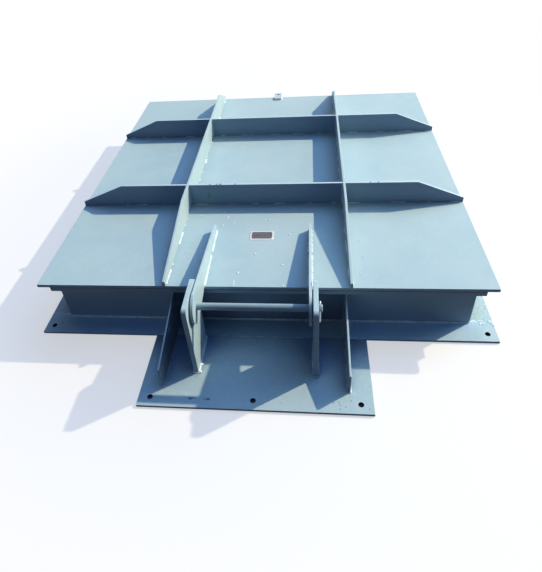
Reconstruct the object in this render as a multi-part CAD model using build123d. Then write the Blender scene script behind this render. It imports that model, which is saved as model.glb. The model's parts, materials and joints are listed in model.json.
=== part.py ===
"""Square steel flap gate, lying closed and face down on its mounting flange.

A square leaf of ribbed plate closes a short welded box frame. Two arms on the leaf hang on one long
pin, which two upright brackets on the hinge side of the frame carry. In service the whole gate is
turned upright, with the flange bolted to a wall and the hinge at the top.

Millimetres. X runs along the hinge pin, +Y from the hinge towards the far edge of the leaf, +Z up.
The origin is the middle of the square waterway, on the underside of the flange.
"""
import os

from build123d import *

# Box frame
box_outer = 1880.0            # outside width of the square box, wall to wall
wall_thickness = 12.0
wall_height = 200.0           # from the top of the flange to the underside of the seat rim
flange_projection = 102.0     # how far the flange stands out from the box walls
flange_thickness = 12.0
seat_width = 40.0             # width of the flat bar that the seal closes on
seat_thickness = 20.0
bolt_hole_diameter = 22.0
bolt_edge_distance = 40.0     # hole centre to the edge of the flange or the base plate
side_hole_count = 3           # holes between the corner holes on the left, right and far sides

# Base plate in front of the box, under the hinge
base_width = 956.0
base_reach = 366.0            # how far it stands out in front of the flange
base_hole_inset = 50.0        # outer holes to the side edges of the base plate
gusset_thickness = 8.0
gusset_setback = 88.0         # outer face of a gusset to the side edge of the base plate
gusset_front_margin = 91.0    # gusset nose to the front edge of the base plate
gusset_nose_height = 107.0

# Hinge
pin_height = 306.0            # above the top of the flange
pin_advance = 146.0           # in front of the leaf's hinge edge
pin_diameter = 30.0
pin_overhang = 16.0           # pin beyond the outer face of each bracket
pin_chamfer = 2.0
pin_fit_gap = 0.3             # radial gap between the pin and every plate that it passes through
bracket_thickness = 20.0
bracket_width = 198.0
bracket_above_pin = 70.0      # top of a bracket above the axis of the pin
bracket_corner_radius = 24.0
bracket_inner_spacing = 488.0
cotter_diameter = 6.3
cotter_leg = 64.0             # below the hinge pin
cotter_neck = 2.0             # between the hinge pin and the eye
cotter_eye_radius = 6.5       # to the middle of the wire
cotter_eye_chamfer = 1.5
cotter_offset = 7.0           # cotter pin to the outer face of its bracket
arm_thickness = 12.0
arm_side_gap = 5.0            # free space between an arm and its bracket
arm_nose_radius = 71.0
arm_length_on_leaf = 390.0
arm_tail_height = 41.0

# Leaf
leaf_margin = 32.0            # edge of the leaf beyond the outer edge of the seal
leaf_thickness = 16.0
rib_height = 122.0
rib_thickness = 12.0
rib_spacing = 810.0           # between the centre planes of the two long ribs
rib_tip_height = 25.0
rib_hinge_slope = 480.0       # length of the long taper at the hinge end of the long ribs
rib_far_slope = 205.0
cross_rib_slope = 231.0
cross_rib_near = 624.0        # hinge edge of the leaf to the centre plane of the near cross rib
cross_rib_far = 1405.0
backing_thickness = 20.0      # flat bars under the leaf's edge that hold the seal
seal_thickness = 16.0
seal_gap = 0.3                # gap between the resting seal and the seat

# Small parts on the leaf
lug_width = 52.0
lug_length = 100.0
lug_thickness = 12.0
lug_projection = 50.0         # how far the lug stands out past the far edge of the leaf
lug_corner_radius = 10.0
lug_hole_diameter = 18.0
lug_hole_inset = 28.0         # hole centre to the far end of the lug
nameplate_width = 115.0
nameplate_depth = 67.0
nameplate_thickness = 2.0
nameplate_corner_radius = 6.0
nameplate_setback = 350.0     # hinge edge of the leaf to the middle of the plate

# Places worked out from the sizes
box_half = box_outer / 2
clear_half = box_half - wall_thickness
flange_half = box_half + flange_projection
seat_half = clear_half + seat_width
leaf_half = seat_half + leaf_margin
flange_top = flange_thickness
seat_bottom = flange_top + wall_height
seat_top = seat_bottom + seat_thickness
seal_bottom = seat_top + seal_gap
seal_top = seal_bottom + seal_thickness
leaf_bottom = seal_top + backing_thickness
leaf_top = leaf_bottom + leaf_thickness
base_front = -flange_half - base_reach
base_half = base_width / 2
pin_y = -leaf_half - pin_advance
pin_z = flange_top + pin_height
pin_hole_radius = pin_diameter / 2 + pin_fit_gap
bracket_half = bracket_inner_spacing / 2
arm_outer = bracket_half - arm_side_gap
pin_half = bracket_half + bracket_thickness + pin_overhang


def block(x_low, x_high, y_low, y_high, z_low, z_high):
    """A rectangular plate or bar between two corners."""
    size = (x_high - x_low, y_high - y_low, z_high - z_low)
    middle = ((x_low + x_high) / 2, (y_low + y_high) / 2, (z_low + z_high) / 2)
    return Pos(*middle) * Box(*size)


def upright(points, x_middle, thickness):
    """A plate standing across X, cut to an outline of (y, z) points."""
    face = Plane.YZ.offset(x_middle - thickness / 2) * make_face(Polyline(*points, close=True))
    return extrude(face, thickness, dir=(1, 0, 0))


def hole_along_x(y, z, radius, x_reach):
    """A round cutter along X through the whole hinge."""
    return Pos(0, y, z) * Rot(0, 90, 0) * Cylinder(radius, 2 * x_reach)


def holes_along_z(places, diameter, z_low, z_high):
    """Round cutters along Z at each (x, y) place, with a millimetre of run-out at both faces."""
    run_out = 1.0
    depth = z_high - z_low + 2 * run_out
    return [Pos(x, y, (z_low + z_high) / 2) * Cylinder(diameter / 2, depth) for x, y in places]


def ring_bars(outer, inner, z_low, z_high):
    """Four bars round a square: the hinge and far bars run full width, the side bars fit between."""
    return {
        "hinge": block(-outer, outer, -outer, -inner, z_low, z_high),
        "far": block(-outer, outer, inner, outer, z_low, z_high),
        "left": block(-outer, -inner, -inner, inner, z_low, z_high),
        "right": block(inner, outer, -inner, inner, z_low, z_high),
    }


def mounting_flange():
    """Four flat bars round the foot of the box, with bolt holes at the corners and along three sides."""
    hole = flange_half - bolt_edge_distance
    pitch = 2 * hole / (side_hole_count + 1)
    row = [-hole + pitch * (i + 1) for i in range(side_hole_count)]
    places = {
        "hinge": [(-hole, -hole), (hole, -hole)],
        "far": [(-hole, hole), (hole, hole)] + [(x, hole) for x in row],
        "left": [(-hole, y) for y in row],
        "right": [(hole, y) for y in row],
    }
    bars = ring_bars(flange_half, clear_half, 0, flange_thickness)
    return {
        side: bar - holes_along_z(places[side], bolt_hole_diameter, 0, flange_thickness)
        for side, bar in bars.items()
    }


def hinge_base_plate():
    """The plate in front of the flange that carries the hinge, with three holes at its front edge."""
    plate = block(-base_half, base_half, base_front, -flange_half, 0, flange_thickness)
    side = base_half - base_hole_inset
    row = base_front + bolt_edge_distance
    places = [(-side, row), (0, row), (side, row)]
    return plate - holes_along_z(places, bolt_hole_diameter, 0, flange_thickness)


def base_gusset(side):
    """A sloping stiffener from the top of the box wall down to the front of the base plate."""
    nose = base_front + gusset_front_margin
    outline = [
        (nose, flange_top),
        (-box_half, flange_top),
        (-box_half, seat_bottom),
        (nose, flange_top + gusset_nose_height),
    ]
    middle = base_half - gusset_setback - gusset_thickness / 2
    return upright(outline, side * middle, gusset_thickness)


def hinge_bracket(side):
    """An upright plate with rounded top corners and a hole for the pin."""
    low, high = pin_y - bracket_width / 2, pin_y + bracket_width / 2
    top = pin_z + bracket_above_pin
    outline = [(low, flange_top), (high, flange_top), (high, top), (low, top)]
    middle = side * (bracket_half + bracket_thickness / 2)
    plate = upright(outline, middle, bracket_thickness)
    top_corners = plate.edges().filter_by(Axis.X).group_by(Axis.Z)[-1]
    plate = fillet(top_corners, bracket_corner_radius)
    return plate - hole_along_x(pin_y, pin_z, pin_hole_radius, pin_half)


def cotter_x(side):
    """Where the cotter pin stands along the hinge pin."""
    return side * (bracket_half + bracket_thickness + cotter_offset)


def hinge_pin():
    """One long round bar through both brackets and both arms, drilled for its cotter pins."""
    pin = Rot(0, 90, 0) * Cylinder(pin_diameter / 2, 2 * pin_half)
    pin = chamfer(pin.edges().filter_by(GeomType.CIRCLE), pin_chamfer)
    drill_radius = cotter_diameter / 2 + pin_fit_gap
    drills = [Pos(cotter_x(side), 0, 0) * Cylinder(drill_radius, 2 * pin_diameter) for side in (-1, 1)]
    return Pos(0, pin_y, pin_z) * (pin - drills)


def cotter_pin(side):
    """A split pin through the end of the hinge pin: a straight shank under a ring for its eye."""
    wire = cotter_diameter / 2
    low = -pin_diameter / 2 - cotter_leg
    high = pin_diameter / 2 + cotter_neck + wire
    shank = Pos(0, 0, (low + high) / 2) * Cylinder(wire, high - low)
    eye = Cylinder(cotter_eye_radius + wire, cotter_diameter)
    eye = chamfer(eye.edges().filter_by(GeomType.CIRCLE), cotter_eye_chamfer)
    eye -= Cylinder(cotter_eye_radius - wire, cotter_diameter)
    eye = Pos(0, 0, high + cotter_eye_radius) * Rot(0, 90, 0) * eye
    return Pos(cotter_x(side), pin_y, pin_z) * (shank + eye)


def hinge_arm(side):
    """A tapered plate from the top of the leaf to the pin, hooked over the edge of the leaf."""
    tail = -leaf_half + arm_length_on_leaf
    tail_top = leaf_top + arm_tail_height
    nose_top = pin_z + arm_nose_radius
    nose_bottom = pin_z - arm_nose_radius
    top_edge = Line((tail, tail_top), (pin_y, nose_top))
    nose = ThreePointArc((pin_y, nose_top), (pin_y - arm_nose_radius, pin_z), (pin_y, nose_bottom))
    foot = Polyline(
        (pin_y, nose_bottom),
        (-leaf_half, leaf_bottom),
        (-leaf_half, leaf_top),
        (tail, leaf_top),
        (tail, tail_top),
    )
    middle = side * (arm_outer - arm_thickness / 2)
    face = Plane.YZ.offset(middle - arm_thickness / 2) * make_face([top_edge, nose, foot])
    arm = extrude(face, arm_thickness, dir=(1, 0, 0))
    return arm - hole_along_x(pin_y, pin_z, pin_hole_radius, pin_half)


def long_rib(side):
    """A rib along the whole leaf, full height in the middle and tapered at both ends."""
    top = leaf_top + rib_height
    tip = leaf_top + rib_tip_height
    outline = [
        (-leaf_half, leaf_top),
        (leaf_half, leaf_top),
        (leaf_half, tip),
        (leaf_half - rib_far_slope, top),
        (-leaf_half + rib_hinge_slope, top),
        (-leaf_half, tip),
    ]
    return upright(outline, side * rib_spacing / 2, rib_thickness)


def cross_rib(distance):
    """The three lengths of one cross rib: two tapered ends outside the long ribs, one piece between."""
    y = -leaf_half + distance
    top = leaf_top + rib_height
    tip = leaf_top + rib_tip_height
    inner = rib_spacing / 2 - rib_thickness / 2
    outer = rib_spacing / 2 + rib_thickness / 2
    end = [
        (outer, leaf_top),
        (leaf_half, leaf_top),
        (leaf_half, tip),
        (leaf_half - cross_rib_slope, top),
        (outer, top),
    ]
    face = Plane.XZ.offset(rib_thickness / 2 - y) * make_face(Polyline(*end, close=True))
    right = extrude(face, rib_thickness, dir=(0, 1, 0))
    centre = block(-inner, inner, y - rib_thickness / 2, y + rib_thickness / 2, leaf_top, top)
    return {"left": mirror(right, about=Plane.YZ), "centre": centre, "right": right}


def lifting_lug():
    """A flat eye plate lying on the leaf and standing out past its far edge."""
    far = leaf_half + lug_projection
    near = far - lug_length
    plate = block(-lug_width / 2, lug_width / 2, near, far, leaf_top, leaf_top + lug_thickness)
    far_corners = plate.edges().filter_by(Axis.Z).group_by(Axis.Y)[-1]
    plate = fillet(far_corners, lug_corner_radius)
    eye = [(0, far - lug_hole_inset)]
    return plate - holes_along_z(eye, lug_hole_diameter, leaf_top, leaf_top + lug_thickness)


def nameplate():
    """A small bare plate on the leaf."""
    y = -leaf_half + nameplate_setback
    z = leaf_top + nameplate_thickness / 2
    plate = Pos(0, y, z) * Box(nameplate_width, nameplate_depth, nameplate_thickness)
    return fillet(plate.edges().filter_by(Axis.Z), nameplate_corner_radius)


def gate():
    """Every piece of the gate by name."""
    pieces = {}
    for side, bar in mounting_flange().items():
        pieces[f"mounting_flange_{side}"] = bar
    for side, wall in ring_bars(box_half, clear_half, flange_top, seat_bottom).items():
        pieces[f"box_wall_{side}"] = wall
    for side, bar in ring_bars(seat_half, clear_half, seat_bottom, seat_top).items():
        pieces[f"seat_rim_{side}"] = bar
    pieces["hinge_base_plate"] = hinge_base_plate()
    pieces["hinge_pin"] = hinge_pin()

    pieces["leaf_plate"] = block(-leaf_half, leaf_half, -leaf_half, leaf_half, leaf_bottom, leaf_top)
    for side, bar in ring_bars(seat_half, clear_half, seal_top, leaf_bottom).items():
        pieces[f"seal_backing_{side}"] = bar
    for side, strip in ring_bars(seat_half, clear_half, seal_bottom, seal_top).items():
        pieces[f"seal_strip_{side}"] = strip
    for name, distance in (("near", cross_rib_near), ("far", cross_rib_far)):
        for part, rib in cross_rib(distance).items():
            pieces[f"cross_rib_{name}_{part}"] = rib
    pieces["lifting_lug"] = lifting_lug()
    pieces["nameplate"] = nameplate()

    for name, side in (("left", -1), ("right", 1)):
        pieces[f"base_gusset_{name}"] = base_gusset(side)
        pieces[f"hinge_bracket_{name}"] = hinge_bracket(side)
        pieces[f"cotter_pin_{name}"] = cotter_pin(side)
        pieces[f"hinge_arm_{name}"] = hinge_arm(side)
        pieces[f"long_rib_{name}"] = long_rib(side)
    return pieces


os.makedirs("parts", exist_ok=True)
for name, piece in gate().items():
    piece.label = name
    export_step(piece, f"parts/{name}.step")
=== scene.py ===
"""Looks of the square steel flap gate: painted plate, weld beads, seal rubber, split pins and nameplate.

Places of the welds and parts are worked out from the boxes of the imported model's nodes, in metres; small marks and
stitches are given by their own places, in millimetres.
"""
import json
import math
import random
from collections import namedtuple

import bmesh
import bpy
from mathutils import Matrix, Vector, noise

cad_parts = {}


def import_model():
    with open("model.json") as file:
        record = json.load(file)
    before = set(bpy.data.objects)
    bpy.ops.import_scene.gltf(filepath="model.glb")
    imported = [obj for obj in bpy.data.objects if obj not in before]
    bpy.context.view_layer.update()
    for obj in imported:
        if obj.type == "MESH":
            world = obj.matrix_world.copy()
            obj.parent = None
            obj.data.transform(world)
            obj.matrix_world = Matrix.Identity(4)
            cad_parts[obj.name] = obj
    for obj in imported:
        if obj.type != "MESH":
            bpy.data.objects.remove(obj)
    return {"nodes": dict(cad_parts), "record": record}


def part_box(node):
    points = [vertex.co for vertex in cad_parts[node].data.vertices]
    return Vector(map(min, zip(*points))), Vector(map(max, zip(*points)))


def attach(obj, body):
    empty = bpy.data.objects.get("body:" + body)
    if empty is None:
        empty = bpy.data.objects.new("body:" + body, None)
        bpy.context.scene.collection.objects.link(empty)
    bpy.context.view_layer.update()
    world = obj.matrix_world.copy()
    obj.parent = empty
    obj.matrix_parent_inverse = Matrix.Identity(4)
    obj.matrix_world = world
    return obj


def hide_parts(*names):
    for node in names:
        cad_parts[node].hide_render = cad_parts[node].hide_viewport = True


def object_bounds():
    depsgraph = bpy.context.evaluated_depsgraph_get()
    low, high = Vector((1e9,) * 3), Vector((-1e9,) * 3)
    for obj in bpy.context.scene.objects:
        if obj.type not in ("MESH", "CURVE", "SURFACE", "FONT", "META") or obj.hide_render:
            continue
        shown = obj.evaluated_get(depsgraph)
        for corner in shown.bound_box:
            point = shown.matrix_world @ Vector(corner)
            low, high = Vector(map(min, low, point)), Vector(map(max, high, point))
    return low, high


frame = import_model()
cad_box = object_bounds()
nodes = frame["nodes"]

MM = 0.001
X, Y, Z = Vector((1, 0, 0)), Vector((0, 1, 0)), Vector((0, 0, 1))

# Camera, fitted to the photograph
PHOTO_HEIGHT = 572            # pixels, the long side of the frame
FOCAL_PIXELS = 489.2
SENSOR = 36.0
PRINCIPAL_POINT = (251.7, 218.0)
PHOTO_MIDDLE = (271.0, 286.0)
CAMERA_PLACE = Vector((0.2344, -2.4862, 1.7770))
CAMERA_RIGHT = Vector((0.9929, 0.0911, -0.0769))
CAMERA_UP = Vector((0.0064, 0.6029, 0.7978))

# Lamps and floor
KEY_AIM = Vector((0.0, -0.2, 0.2))
KEY_DIRECTION = Vector((1.225, 0.71, 1.00)).normalized()
KEY_DISTANCE = 40.0
KEY_SIZE = 0.6
KEY_WATTS = 19400.0
KEY_COLOUR = (1.0, 0.868, 0.60)
SIDE_AIM = Vector((0.0, -0.1, 0.25))
SIDE_PLACE = Vector((3.6, 0.9, 1.2))
SIDE_SIZE = 2.4
SIDE_WATTS = 66.0
SIDE_COLOUR = (0.90, 0.97, 1.0)
FILL_AIM = Vector((-0.7, -1.0, 0.1))
FILL_PLACE = Vector((-3.2, -3.4, 0.9))
FILL_WATTS = 3.5
FILL_COLOUR = (1.0, 0.98, 0.60)
SKY_AXIS = Vector((0.35, 0.55, 0.76)).normalized()
SKY_BRIGHT = (0.92, 1.58, 2.82, 1)
SKY_DIM = (0.022, 0.044, 0.108, 1)
SKY_FROM, SKY_FULL = 0.70, 1.0
FLOOR_RADIUS = 30.0
FLOOR_BOUNCE_AND_HOLE_SHADE = (0.10, 0.10, 0.105, 1)
FLOOR_NEAR_WHITE = 0.55
FLOOR_WHITE_FROM = 1.5
FLOOR_WHITE_AT = 2.7

# Weld beads
BEAD_STEP = 2.4 * MM
RIPPLE_PITCH = 7.2 * MM
RIPPLE_DEPTH = 0.13
RIPPLE_BOW = 0.55
FILLET_SIDES = 5
HEAVY_LEG = 8.0 * MM
LIGHT_LEG = 6.0 * MM
THIN_LEG = 4.5 * MM
SEAM_WIDTH = 9.0 * MM
SEAM_HEIGHT = 1.6 * MM
BEAD_SINK = 0.3 * MM

# Paint, linear colours
PAINT = (0.446, 0.588, 0.618, 1)
PAINT_DEEP = (0.401, 0.550, 0.594, 1)
PAINT_PALE = (0.503, 0.633, 0.632, 1)
# Painted shade: the darker tone that upright faces take, most those turned along Y
UPRIGHT_PAINTED_SHADE = (0.230, 0.350, 0.490, 1)
PAINTED_SHADE_ALONG_X = 0.02              # of that tone on upright faces turned along X
PAINTED_SHADE_ALONG_Y = 0.75              # and along Y
# The pin's darker coat, also its painted shade on upright faces
PIN_COAT_AND_SHADE = (0.190, 0.268, 0.325, 1)
# Painted shade tones of the upright faces of the long ribs and of the cross ribs
LONG_RIB_PAINTED_SHADE = (0.340, 0.360, 0.320, 1)
CROSS_RIB_PAINTED_SHADE = (0.216, 0.322, 0.441, 1)
PAINT_WORN = (0.640, 0.730, 0.750, 1)
PAINT_SOILED = (0.300, 0.390, 0.385, 1)
PAINT_CREST = (0.700, 0.820, 0.870, 1)
# Pale paint on the weld beads, partly a painted glint
WELD_PALE_AND_GLINT = (0.670, 0.800, 0.930, 1)
WELD_SHADE = (0.330, 0.450, 0.600, 1)
DROP_WHITE = (0.930, 0.960, 0.970, 1)
RUST = (0.140, 0.085, 0.060, 1)
HOLE_DARK = (0.022, 0.020, 0.020, 1)
NICK_TONE = (0.016, 0.050, 0.080, 1)

# Painted shade in corners and between plates that stand close together, with dust in the dust layers: tone, how
# far it looks for other plates, how open a place is where the darkening starts and where it is thickest, how strong
# it is there, and how far it reaches from the middle along X
DirtAndShade = namedtuple("DirtAndShade", "tone reach start full strength half_width", defaults=(None,))
# Dust and painted shade by the feet of the ribs, and by the walls on the flange
RIB_DUST_AND_SHADE = DirtAndShade((0.190, 0.250, 0.275, 1), 0.14, 0.95, 0.45, 0.30)
FLANGE_DUST_AND_SHADE = DirtAndShade((0.200, 0.250, 0.225, 1), 0.16, 0.97, 0.50, 0.60)
# Painted shade: dark blue on the base plate and between the gussets, and a painted blue cast on the hinge side of the
# flange
BASE_PAINTED_SHADE = DirtAndShade((0.020, 0.070, 0.210, 1), 0.30, 0.80, 0.30, 0.80)
WALL_PAINTED_SHADE = DirtAndShade((0.030, 0.050, 0.125, 1), 0.30, 0.88, 0.25, 0.80)
FLANGE_SHADE = DirtAndShade((0.360, 0.600, 0.950, 1), 0.30, 0.80, 0.50, 0.60)

# Bolt holes: how many equal gaps the mounts' outer holes are divided into
FLANGE_GAPS = 4
BASE_GAPS = 2


# Stitches of weld that the photograph shows, from start to end in millimetres of X or Y
SEEN_STITCHES = {
    ("cross_rib_near_left", "front"): ((-765, -746), (-707, -646)),
    ("cross_rib_near_centre", "front"): ((-392, -310), (-204, -159), (-78, -38), (45, 107), (220, 245), (344, 365)),
    ("cross_rib_near_right", "front"): ((419, 490), (646, 721), (825, 840), (938, 988)),
    ("long_rib_left", "right"): ((-990, -894), (-719, -623), (-146, -134), (-62, -48), (46, 98), (117, 127),
                                 (298, 311), (662, 690), (925, 975)),
    ("long_rib_right", "right"): ((-990, -911), (-240, -190), (130, 150), (520, 600)),
}

# Drops of pale paint on the leaf and small dark spots by the right hole of the base plate, in millimetres
PAINT_DROPS = ((-148, -544), (28, -525), (65, -586), (132, -642), (-88, -911), (-21, -785), (-206, -570),
               (107, -858), (-329, -485), (-186, -500), (-209, -458))
# The parts of the seam on the right flange that stand out
SEEN_SEAM = ((949, 966), (978, 1001), (1019, 1039))

# Nicks through the paint on the top edges of the near cross ribs, in millimetres of X
NEAR_RIB_NICKS = (-285, -250, -234, -227, -152, 402, 536, 575)

# Lumps of weld metal left on the leaf beside the long ribs, and along the seam that shows on the right flange
LEAF_LUMPS = ((-398, -514), (-403, -566), (-398, -858))
BASE_LUMPS = ((-239, -1203), (-238, -1241), (388, -1313))
SEAM_LUMPS = ((950, -938), (966, -934), (984, -945), (990, -938), (998, -944), (1020, -937), (1026, -931), (1032, -942))
FLANGE_SPOTS = ((1036, -954), (1041, -957), (-970, -985))
SEAM_SPOTS = ((958, -944), (975, -930), (980, -952), (1008, -933), (1012, -946), (1034, -934), (1036, -955), (1030, -850))
LEAF_SPOTS = ((458, -694), (464, -807), (445, -920), (-353, -778))
DARK_SPOTS = ((342, -1361), (346, -1372), (319, -1365), (345, -1390), (368, -1380), (390, -1353), (458, -1385))


def low(node):
    """Lowest corner of a node's box."""
    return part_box(node)[0]


def high(node):
    """Highest corner of a node's box."""
    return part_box(node)[1]


# Materials


class Shader:
    """One node material with a Principled shader, and short ways to add nodes to it."""

    def __init__(self, name, **fixed):
        self.material = bpy.data.materials.new(name)
        self.material.use_nodes = True
        self.tree = self.material.node_tree
        self.surface = self.tree.nodes["Principled BSDF"]
        for socket, value in fixed.items():
            self.surface.inputs[socket.replace("_", " ")].default_value = value
        where = self.tree.nodes.new("ShaderNodeTexCoord")
        self.place = where.outputs["Object"]
        self.facing = where.outputs["Normal"]

    def add(self, kind, inputs, output=0, **settings):
        """Adds a node, fills its inputs with values or other nodes' outputs, and gives one output."""
        node = self.tree.nodes.new(kind)
        for key, value in settings.items():
            setattr(node, key, value)
        for socket, value in inputs.items():
            if isinstance(value, bpy.types.NodeSocket):
                self.tree.links.new(value, node.inputs[socket])
            else:
                node.inputs[socket].default_value = value
        return node.outputs[output]

    def noise(self, scale, detail=3.0, rough=0.5, place=None, shift=0.0):
        """Cloudy noise from 0 to 1 with a given number of features per metre."""
        spot = self.move(place or self.place, (shift, shift, shift)) if shift else place or self.place
        inputs = {"Vector": spot, "Scale": scale, "Detail": detail, "Roughness": rough}
        return self.add("ShaderNodeTexNoise", inputs, "Fac")

    def move(self, place, offset):
        """A place shifted by an offset."""
        return self.add("ShaderNodeVectorMath", {0: place, 1: offset}, operation="ADD")

    def stretch(self, factors):
        """The place with each axis scaled, for streaks."""
        return self.add("ShaderNodeVectorMath", {0: self.place, 1: factors}, operation="MULTIPLY")

    def math(self, operation, a, b=0.0):
        """Arithmetic on two values."""
        return self.add("ShaderNodeMath", {0: a, 1: b}, operation=operation)

    def band(self, value, start, end):
        """0 below start, 1 above end and smooth between them, or the other way round."""
        inputs = {"Value": value, "From Min": start, "From Max": end, "To Min": 0.0, "To Max": 1.0}
        return self.add("ShaderNodeMapRange", inputs, interpolation_type="SMOOTHSTEP")

    def axis(self, vector, index):
        """One component of a vector."""
        return self.add("ShaderNodeSeparateXYZ", {0: vector}, index)

    def mix(self, factor, first, second):
        """A blend of two colours."""
        return self.add("ShaderNodeMix", {0: factor, 6: first, 7: second}, 2, data_type="RGBA")

    def specks(self, scale, size, share, shift=0.0):
        """Small round spots, one in some of the cells of a jittered grid."""
        spot = self.move(self.place, (shift, shift, shift))
        cell = self.tree.nodes.new("ShaderNodeTexVoronoi")
        cell.inputs["Scale"].default_value = scale
        self.tree.links.new(spot, cell.inputs["Vector"])
        near = self.band(cell.outputs["Distance"], size * scale, 0.4 * size * scale)
        chosen = self.band(self.axis(cell.outputs["Color"], 0), 1.0 - share, 1.0 - share + 0.01)
        return self.math("MULTIPLY", near, chosen)

    def bump(self, height, distance, strength=1.0, under=None):
        """A bump from a height, laid over another one where given."""
        inputs = {"Height": height, "Distance": distance, "Strength": strength}
        if under is not None:
            inputs["Normal"] = under
        return self.add("ShaderNodeBump", inputs)

    def set(self, socket, value):
        """Links an output to the shader."""
        self.tree.links.new(value, self.surface.inputs[socket])


Mark = namedtuple("Mark", "start end width out tone", defaults=(Z, (0.07, 0.09, 0.12, 1)))


def smudge(shader, mark):
    """1 on a soft streak between two points of a face that is turned along out, broken up by noise."""
    start, end, width, out = Vector(mark.start), Vector(mark.end), mark.width, mark.out
    along = (end - start).normalized()
    across = out.cross(along)
    spot = shader.move(shader.place, tuple(-(start + end) / 2))
    t = shader.add("ShaderNodeVectorMath", {0: spot, 1: tuple(along)}, "Value", operation="DOT_PRODUCT")
    s = shader.add("ShaderNodeVectorMath", {0: spot, 1: tuple(across)}, "Value", operation="DOT_PRODUCT")
    half = (end - start).length / 2
    inside = shader.band(shader.math("ABSOLUTE", t), half, 0.7 * half)
    beside = shader.band(shader.math("ABSOLUTE", s), width, 0.2 * width)
    patches = shader.band(shader.noise(34.0, 2.0), 0.34, 0.54)
    d = shader.add("ShaderNodeVectorMath", {0: spot, 1: tuple(out)}, "Value", operation="DOT_PRODUCT")
    beside = shader.math("MULTIPLY", beside, shader.band(shader.math("ABSOLUTE", d), 5 * MM, 3 * MM))
    return shader.math("MULTIPLY", shader.math("MULTIPLY", inside, beside), patches)


def hole_grid(mount, gaps):
    """One hole, the steps and the radius of the row or square of holes that a mount's outer ones belong to."""
    stated = next(m for m in frame["record"]["mounts"] if m["name"] == mount)
    wide = stated["dims"]["spacing_x_mm"] * MM
    deep = stated["dims"].get("spacing_y_mm", 0) * MM
    corner = Vector(stated["pos_m"]) + Vector((wide / 2, deep / 2, 0))
    return corner, Vector((wide / gaps, wide / gaps, 1)), stated["dims"]["hole_r_mm"] * MM


def bare_holes(shader, hole, pitch, radius):
    """1 on the walls of a grid of drilled holes, 0 elsewhere; hole is one of them and pitch the grid's steps."""
    spot = shader.move(shader.place, tuple(-hole))
    half = pitch / 2
    offset = shader.add("ShaderNodeVectorMath", {0: spot, 1: tuple(half), 2: tuple(-half)}, operation="WRAP")
    flat = shader.add("ShaderNodeVectorMath", {0: offset, 1: (1, 1, 0)}, operation="MULTIPLY")
    away = shader.add("ShaderNodeVectorMath", {0: flat}, "Value", operation="LENGTH")
    return shader.band(away, radius + 0.8 * MM, radius + 0.2 * MM)


def spots(shader, places, radius):
    """1 in small round spots at places on a level face, given in millimetres."""
    level = shader.add("ShaderNodeVectorMath", {0: shader.place, 1: (1, 1, 0)}, operation="MULTIPLY")
    nearest = 1.0
    for x, y in places:
        away = shader.add("ShaderNodeVectorMath", {0: level, 1: (x * MM, y * MM, 0)}, "Value", operation="DISTANCE")
        nearest = shader.math("MINIMUM", nearest, away)
    return shader.band(nearest, 1.3 * radius, 0.6 * radius)


def soiled_and_shaded(shader, colour, dirt_and_shade):
    """A colour darkened in corners and between plates that stand close together: painted shade, with dust in the dust
    layers.
    """
    openness = shader.add("ShaderNodeAmbientOcclusion", {"Distance": dirt_and_shade.reach}, "AO", samples=8)
    # How much painted shade, and dust in the dust layers, from how closed in the place is
    thick = shader.math("MULTIPLY", shader.band(openness, dirt_and_shade.start, dirt_and_shade.full), dirt_and_shade.strength)
    if dirt_and_shade.half_width:
        across = shader.math("ABSOLUTE", shader.axis(shader.place, 0))
        thick = shader.math("MULTIPLY", thick, shader.band(across, dirt_and_shade.half_width + 2 * MM, dirt_and_shade.half_width - 2 * MM))
    return shader.mix(thick, colour, dirt_and_shade.tone)


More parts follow.
